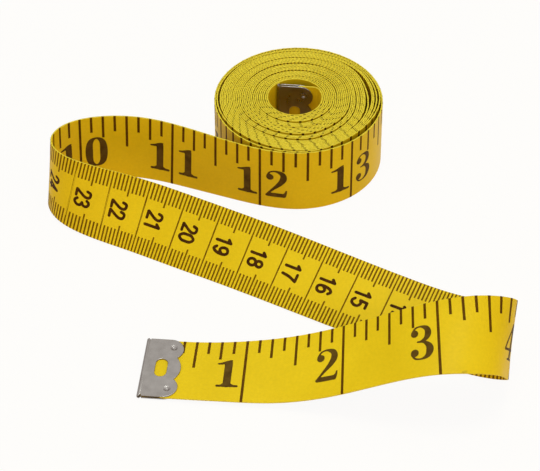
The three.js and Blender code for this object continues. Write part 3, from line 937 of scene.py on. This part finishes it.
shown_inches = (0.0, coil_start + INCH_FIGURES_ON_COIL)
shown_centimetres = (0.0, coil_start + CM_FIGURES_ON_COIL)
all_print = [
    ("inch_lines", inch_lines(), 1, line_ink),
    ("inch_figures", inch_figures(*shown_inches), 1, figure_ink),
    ("mm_lines", centimetre_lines(), -1, fine_ink),
    ("cm_figures", centimetre_figures(*shown_centimetres), -1, plain_ink),
]
for name, start, end, bodies, bend, reach, nodes in LENGTHS:
    if bend is None:
        tape_piece = ribbon(name, start, end, COIL_STEP, COIL_STRIPS)
    else:
        tape_piece = ribbon(name, start, end, FREE_STEP, FREE_STRIPS)
    dress(tape_piece, bodies, bend)
    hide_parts(*nodes)
    for print_name, marks, side, material in all_print:
        print_piece = tape_print(f"{name}_{print_name}", marks, side, start, end, material)
        if print_piece is not None:
            dress(print_piece, bodies, bend)


# Metal tips, in their own frame: X from the fold into the tape, Y across it, Z through its thickness
def arc_points(cx, cy, radius, start, end, count):
    angles = np.linspace(start, end, count)
    return [(cx + radius * math.cos(a), cy + radius * math.sin(a)) for a in angles]


def leaf_outline():
    """A leaf's edge from the fold: straight sides and three lobes that meet at two notches."""
    half = TAPE_WIDTH / 2
    middle_radius = (NOTCH_DEPTH**2 + NOTCH_OFFSET**2) / (2 * NOTCH_DEPTH)
    rim = half - NOTCH_OFFSET
    spread = rim + NOTCH_DEPTH
    side_radius = spread - math.sqrt(spread**2 - rim**2 - NOTCH_DEPTH**2)
    side_centre = half - side_radius
    side_notch = math.atan2(side_centre - NOTCH_OFFSET, side_radius - NOTCH_DEPTH)
    middle_notch = math.atan2(NOTCH_OFFSET, middle_radius - NOTCH_DEPTH)
    side_x = TIP_LENGTH - side_radius
    middle_x = TIP_LENGTH - middle_radius
    shoulder = BEAD_REACH + TIP_BEVEL
    neck = half - BEAD_NOTCH
    outline = [(LEAF_START, -neck), (BEAD_REACH, -neck), (shoulder, -half)]
    outline += arc_points(side_x, -side_centre, side_radius, -math.pi / 2, side_notch, SIDE_LOBE_POINTS)
    outline += arc_points(middle_x, 0, middle_radius, -middle_notch, middle_notch, MIDDLE_LOBE_POINTS)[1:]
    outline += arc_points(side_x, side_centre, side_radius, -side_notch, math.pi / 2, SIDE_LOBE_POINTS)[1:]
    outline += [(shoulder, half), (BEAD_REACH, neck), (LEAF_START, neck)]
    return outline


def hole_outline():
    radius = TIP_HOLE_WIDTH / 2
    reach = TIP_HOLE_LENGTH / 2 - radius
    top = arc_points(TIP_HOLE_SETBACK, reach, radius, 0, math.pi, HOLE_END_POINTS)
    bottom = arc_points(TIP_HOLE_SETBACK, -reach, radius, math.pi, 2 * math.pi, HOLE_END_POINTS)
    return (top + bottom)[::-1]


def pip_places():
    """The middles of the two staked pips."""
    y = TAPE_WIDTH / 2 - PIP_EDGE_INSET
    return [(TIP_LENGTH - PIP_END_INSET, -y), (TIP_LENGTH - PIP_END_INSET, y)]


def leaf_mesh(height):
    """A flat leaf with rounded edges, as a filled curve pushed to its thickness."""
    outlines = [leaf_outline(), hole_outline()]
    if height > 0:
        outlines += [arc_points(x, y, PIP_BORE, 2 * math.pi, 0, PIP_SIDES + 1)[1:] for x, y in pip_places()]
    curve = bpy.data.curves.new("leaf", "CURVE")
    curve.dimensions = "2D"
    curve.fill_mode = "BOTH"
    curve.extrude = TIP_METAL / 2 - TIP_BEVEL
    curve.bevel_depth = TIP_BEVEL
    curve.bevel_resolution = 2
    curve.offset = -TIP_BEVEL
    for outline in outlines:
        spline = curve.splines.new("POLY")
        spline.points.add(len(outline) - 1)
        for point, (x, y) in zip(spline.points, outline):
            point.co = (x, y, 0, 1)
        spline.use_cyclic_u = True
    holder = bpy.data.objects.new("leaf", curve)
    bpy.context.scene.collection.objects.link(holder)
    bpy.context.view_layer.update()
    mesh = bpy.data.meshes.new_from_object(holder.evaluated_get(bpy.context.evaluated_depsgraph_get()))
    bpy.data.objects.remove(holder)
    bpy.data.curves.remove(curve)
    mesh.transform(Matrix.Translation((0, 0, height)))
    return mesh


def bead_midline():
    """The middle of the rolled sheet, from the upper leaf round the fold to the lower leaf."""
    leaf = TIP_HALF_GAP + TIP_METAL / 2 - BEAD_SINK
    bead = BEAD_RADIUS - TIP_METAL / 2
    share = np.linspace(0, 1, FLANGE_STEPS + 1)[:-1]
    rise = leaf + (bead - leaf) * share**2 * (3 - 2 * share)
    upper = np.column_stack([BEAD_REACH + (BEAD_RADIUS - BEAD_REACH) * share, rise])
    angles = np.linspace(math.pi / 2, 3 * math.pi / 2, ROLL_STEPS + 1)
    roll = np.column_stack([BEAD_RADIUS + bead * np.cos(angles), bead * np.sin(angles)])
    return np.vstack([upper, roll, upper[::-1] * (1, -1)])


def join_rings(bm, rings):
    """Faces from each ring of points to the next."""
    count = len(rings[0])
    for low, high in zip(rings, rings[1:]):
        for k in range(count):
            bm.faces.new((low[k], low[(k + 1) % count], high[(k + 1) % count], high[k]))


def add_fold(bm):
    """The rolled fold across the tape, a bead a little fatter than the leaves, cut back at its ends."""
    half = TAPE_WIDTH / 2
    ends = [
        (half, BEAD_END_REACH, BEAD_END_THICKNESS),
        (half - TIP_BEVEL, BEAD_END_REACH, 1.0),
        (half - BEAD_NOTCH, 1.0, 1.0),
    ]
    stations = [(-y, reach, share) for y, reach, share in ends] + ends[::-1]
    line = bead_midline()
    rings = []
    for y, reach, share in stations:
        flange = np.maximum(line[:, 0] - BEAD_RADIUS, 0)
        drawn = line - np.column_stack([flange * (1 - reach), np.zeros(len(line))])
        way = unit(np.column_stack([np.gradient(drawn[:, 0]), np.gradient(drawn[:, 1])]))
        offset = np.column_stack([way[:, 1], -way[:, 0]]) * TIP_METAL / 2 * share
        profile = np.vstack([drawn + offset, (drawn - offset)[::-1]])
        rings.append([bm.verts.new((x, y, z)) for x, z in profile])
    join_rings(bm, rings)
    bm.faces.new(rings[0])
    bm.faces.new(rings[-1][::-1])


def add_pip(bm, x, y):
    """A staked pip: the cup that a punch has pressed through the upper leaf."""
    rings = []
    for radius, height in PIP_PROFILE:
        circle = arc_points(x, y, radius, 0, 2 * math.pi, PIP_SIDES + 1)[:-1]
        rings.append([bm.verts.new((px, py, TIP_HALF_THICKNESS + height)) for px, py in circle])
    join_rings(bm, rings)
    bm.faces.new(rings[-1])
    bm.faces.new(rings[0][::-1])


def metal_tip(name, node, body, edge, into, across):
    """A clip with its outer edge at a point: two leaves, the fold that joins them, and two pips."""
    bm = bmesh.new()
    leaf_height = TIP_HALF_GAP + TIP_METAL / 2
    for height in (leaf_height, -leaf_height):
        leaf = leaf_mesh(height)
        bm.from_mesh(leaf)
        bpy.data.meshes.remove(leaf)
    add_fold(bm)
    for x, y in pip_places():
        add_pip(bm, x, y)
    bmesh.ops.remove_doubles(bm, verts=bm.verts, dist=TIP_WELD)
    bmesh.ops.recalc_face_normals(bm, faces=bm.faces)
    for crease in bm.edges:
        flat = {abs(face.normal.z) > FLAT_FACE for face in crease.link_faces}
        crease.smooth = len(flat) == 1 and crease.calc_face_angle(math.pi) < SHARP_ANGLE
    mesh = bpy.data.meshes.new(name)
    bm.to_mesh(mesh)
    bm.free()
    mesh.materials.clear()
    mesh.materials.append(tip_material)
    mesh.polygons.foreach_set("use_smooth", [True] * len(mesh.polygons))
    mesh.polygons.foreach_set("material_index", [0] * len(mesh.polygons))
    normal = np.cross(into, across)
    turn = Matrix(np.column_stack([into, across, normal]).tolist()).to_4x4()
    mesh.transform(Matrix.Translation(Vector(edge)) @ turn @ Matrix.Scale(MM, 4))
    piece = bpy.data.objects.new(name, mesh)
    bpy.context.scene.collection.objects.link(piece)
    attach(piece, body)
    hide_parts(node)


outer_edge = place([0], [0], [0])[0]
inner_edge = place([tape_end], [0], [0])[0]
metal_tip("start_clip", "start_tip", "start_end", outer_edge, path_along[0], path_across[0])
metal_tip("end_clip", "end_tip", "inner_end", inner_edge, -path_along[-1], path_across[-1])


# Studio: places and sizes in metres, powers in watts
FLOOR_REACH = 3.0
FLOOR_COLOUR = (0.90, 0.74, 0.48, 1)
FLOOR_WHITENESS = 0.93
WORLD_COLOUR = (1, 0.86, 0.62, 1)
WORLD_STRENGTH = 0.36
COOL_LIGHT = (0.88, 1, 1)
DIFFUSE_BOUNCES = 8

# Lamps: place, what it points at, size, power and colour
LAMPS = {
    "ceiling": ((0.05, 0.0, 0.9), (0, 0, 0), 2.4, 7.0, COOL_LIGHT),
    "overhead": ((0.05, 0.0, 0.85), (0, 0, 0), 0.3, 2.3, COOL_LIGHT),
    "right_fill": ((0.75, -0.5, 0.3), (0, 0, 0.01), 0.7, 1.2, (1, 0.72, 0.42)),
    "left_fill": ((-0.6, -0.75, 0.25), (0, 0, 0.01), 0.6, 1.3, (1, 0.72, 0.4)),
}

# Camera: what it points at, its rise and distance from there, and its lens and sensor in millimetres
CAMERA_TARGET = (np.array([-7.3, -33.6, 0.0]) + COIL_AXIS) * MM
CAMERA_ELEVATION = math.radians(40.6)
CAMERA_DISTANCE = 0.62
CAMERA_LENS = 157.6
SENSOR_WIDTH = 36.0


def floor():
    """A pale floor that keeps a soft shadow and is white to the camera."""
    r = FLOOR_REACH
    points = [(-r, -r, 0), (r, -r, 0), (r, r, 0), (-r, r, 0)]
    nodes = Nodes("pale_floor")
    nodes.set(Base_Color=FLOOR_COLOUR, Roughness=0.9, Specular_IOR_Level=0.0)
    glow = nodes.add("ShaderNodeEmission", Strength=1.0)
    rays = nodes.add("ShaderNodeLightPath")
    seen = nodes.math("MAXIMUM", rays.outputs["Is Camera Ray"], rays.outputs["Is Glossy Ray"])
    seen = nodes.math("MAXIMUM", seen, rays.outputs["Is Transmission Ray"])
    where = nodes.add("ShaderNodeTexCoord").outputs["Object"]
    offset = nodes.add("ShaderNodeVectorMath", operation="DISTANCE")
    nodes.join(where, offset.inputs[0])
    offset.inputs[1].default_value = tuple(COIL_AXIS[:2] * MM) + (0.0,)
    open_floor = nodes.math("GREATER_THAN", offset.outputs["Value"], COIL_RADIUS * MM)
    seen = nodes.math("MULTIPLY", nodes.math("MULTIPLY", seen, open_floor), FLOOR_WHITENESS)
    both = nodes.add("ShaderNodeMixShader")
    nodes.join(seen, both.inputs["Fac"])
    nodes.join(nodes.shader.outputs["BSDF"], both.inputs[1])
    nodes.join(glow.outputs["Emission"], both.inputs[2])
    nodes.join(both.outputs["Shader"], nodes.tree.nodes["Material Output"].inputs["Surface"])
    plane = mesh_object("studio_floor", points, [(0, 1, 2, 3)], [nodes.material])


def world():
    """A dim warm world that is white to the camera."""
    background = bpy.data.worlds.new("studio")
    background.use_nodes = True
    tree = background.node_tree
    light = tree.nodes["Background"]
    light.inputs["Color"].default_value = WORLD_COLOUR
    light.inputs["Strength"].default_value = WORLD_STRENGTH
    white = tree.nodes.new("ShaderNodeBackground")
    rays = tree.nodes.new("ShaderNodeLightPath")
    seen = [tree.nodes.new("ShaderNodeMath"), tree.nodes.new("ShaderNodeMath")]
    for node in seen:
        node.operation = "MAXIMUM"
    tree.links.new(rays.outputs["Is Camera Ray"], seen[0].inputs[0])
    tree.links.new(rays.outputs["Is Glossy Ray"], seen[0].inputs[1])
    tree.links.new(seen[0].outputs["Value"], seen[1].inputs[0])
    tree.links.new(rays.outputs["Is Transmission Ray"], seen[1].inputs[1])
    both = tree.nodes.new("ShaderNodeMixShader")
    tree.links.new(seen[1].outputs["Value"], both.inputs["Fac"])
    tree.links.new(light.outputs["Background"], both.inputs[1])
    tree.links.new(white.outputs["Background"], both.inputs[2])
    tree.links.new(both.outputs["Shader"], tree.nodes["World Output"].inputs["Surface"])
    bpy.context.scene.world = background


def softbox(name, at, target, size, power, colour):
    light = bpy.data.lights.new(name, "AREA")
    light.color = colour
    light.shape = "DISK"
    light.size = size
    light.energy = power
    lamp = bpy.data.objects.new(name, light)
    lamp.location = at
    lamp.rotation_euler = (Vector(target) - Vector(at)).to_track_quat("-Z", "Y").to_euler()
    bpy.context.scene.collection.objects.link(lamp)


def photo_camera():
    data = bpy.data.cameras.new("camera")
    data.sensor_fit = "HORIZONTAL"
    data.sensor_width = SENSOR_WIDTH
    data.lens = CAMERA_LENS
    data.clip_start = 0.01
    camera = bpy.data.objects.new("camera", data)
    back = Vector((0, -math.cos(CAMERA_ELEVATION), math.sin(CAMERA_ELEVATION)))
    camera.location = Vector(CAMERA_TARGET) + CAMERA_DISTANCE * back
    camera.rotation_euler = (-back).to_track_quat("-Z", "Y").to_euler()
    bpy.context.scene.collection.objects.link(camera)
    bpy.context.scene.camera = camera


floor()
world()
for lamp_name, lamp_values in LAMPS.items():
    softbox(lamp_name, *lamp_values)
photo_camera()
bpy.context.scene.view_settings.view_transform = "Standard"
bpy.context.scene.cycles.diffuse_bounces = DIFFUSE_BOUNCES
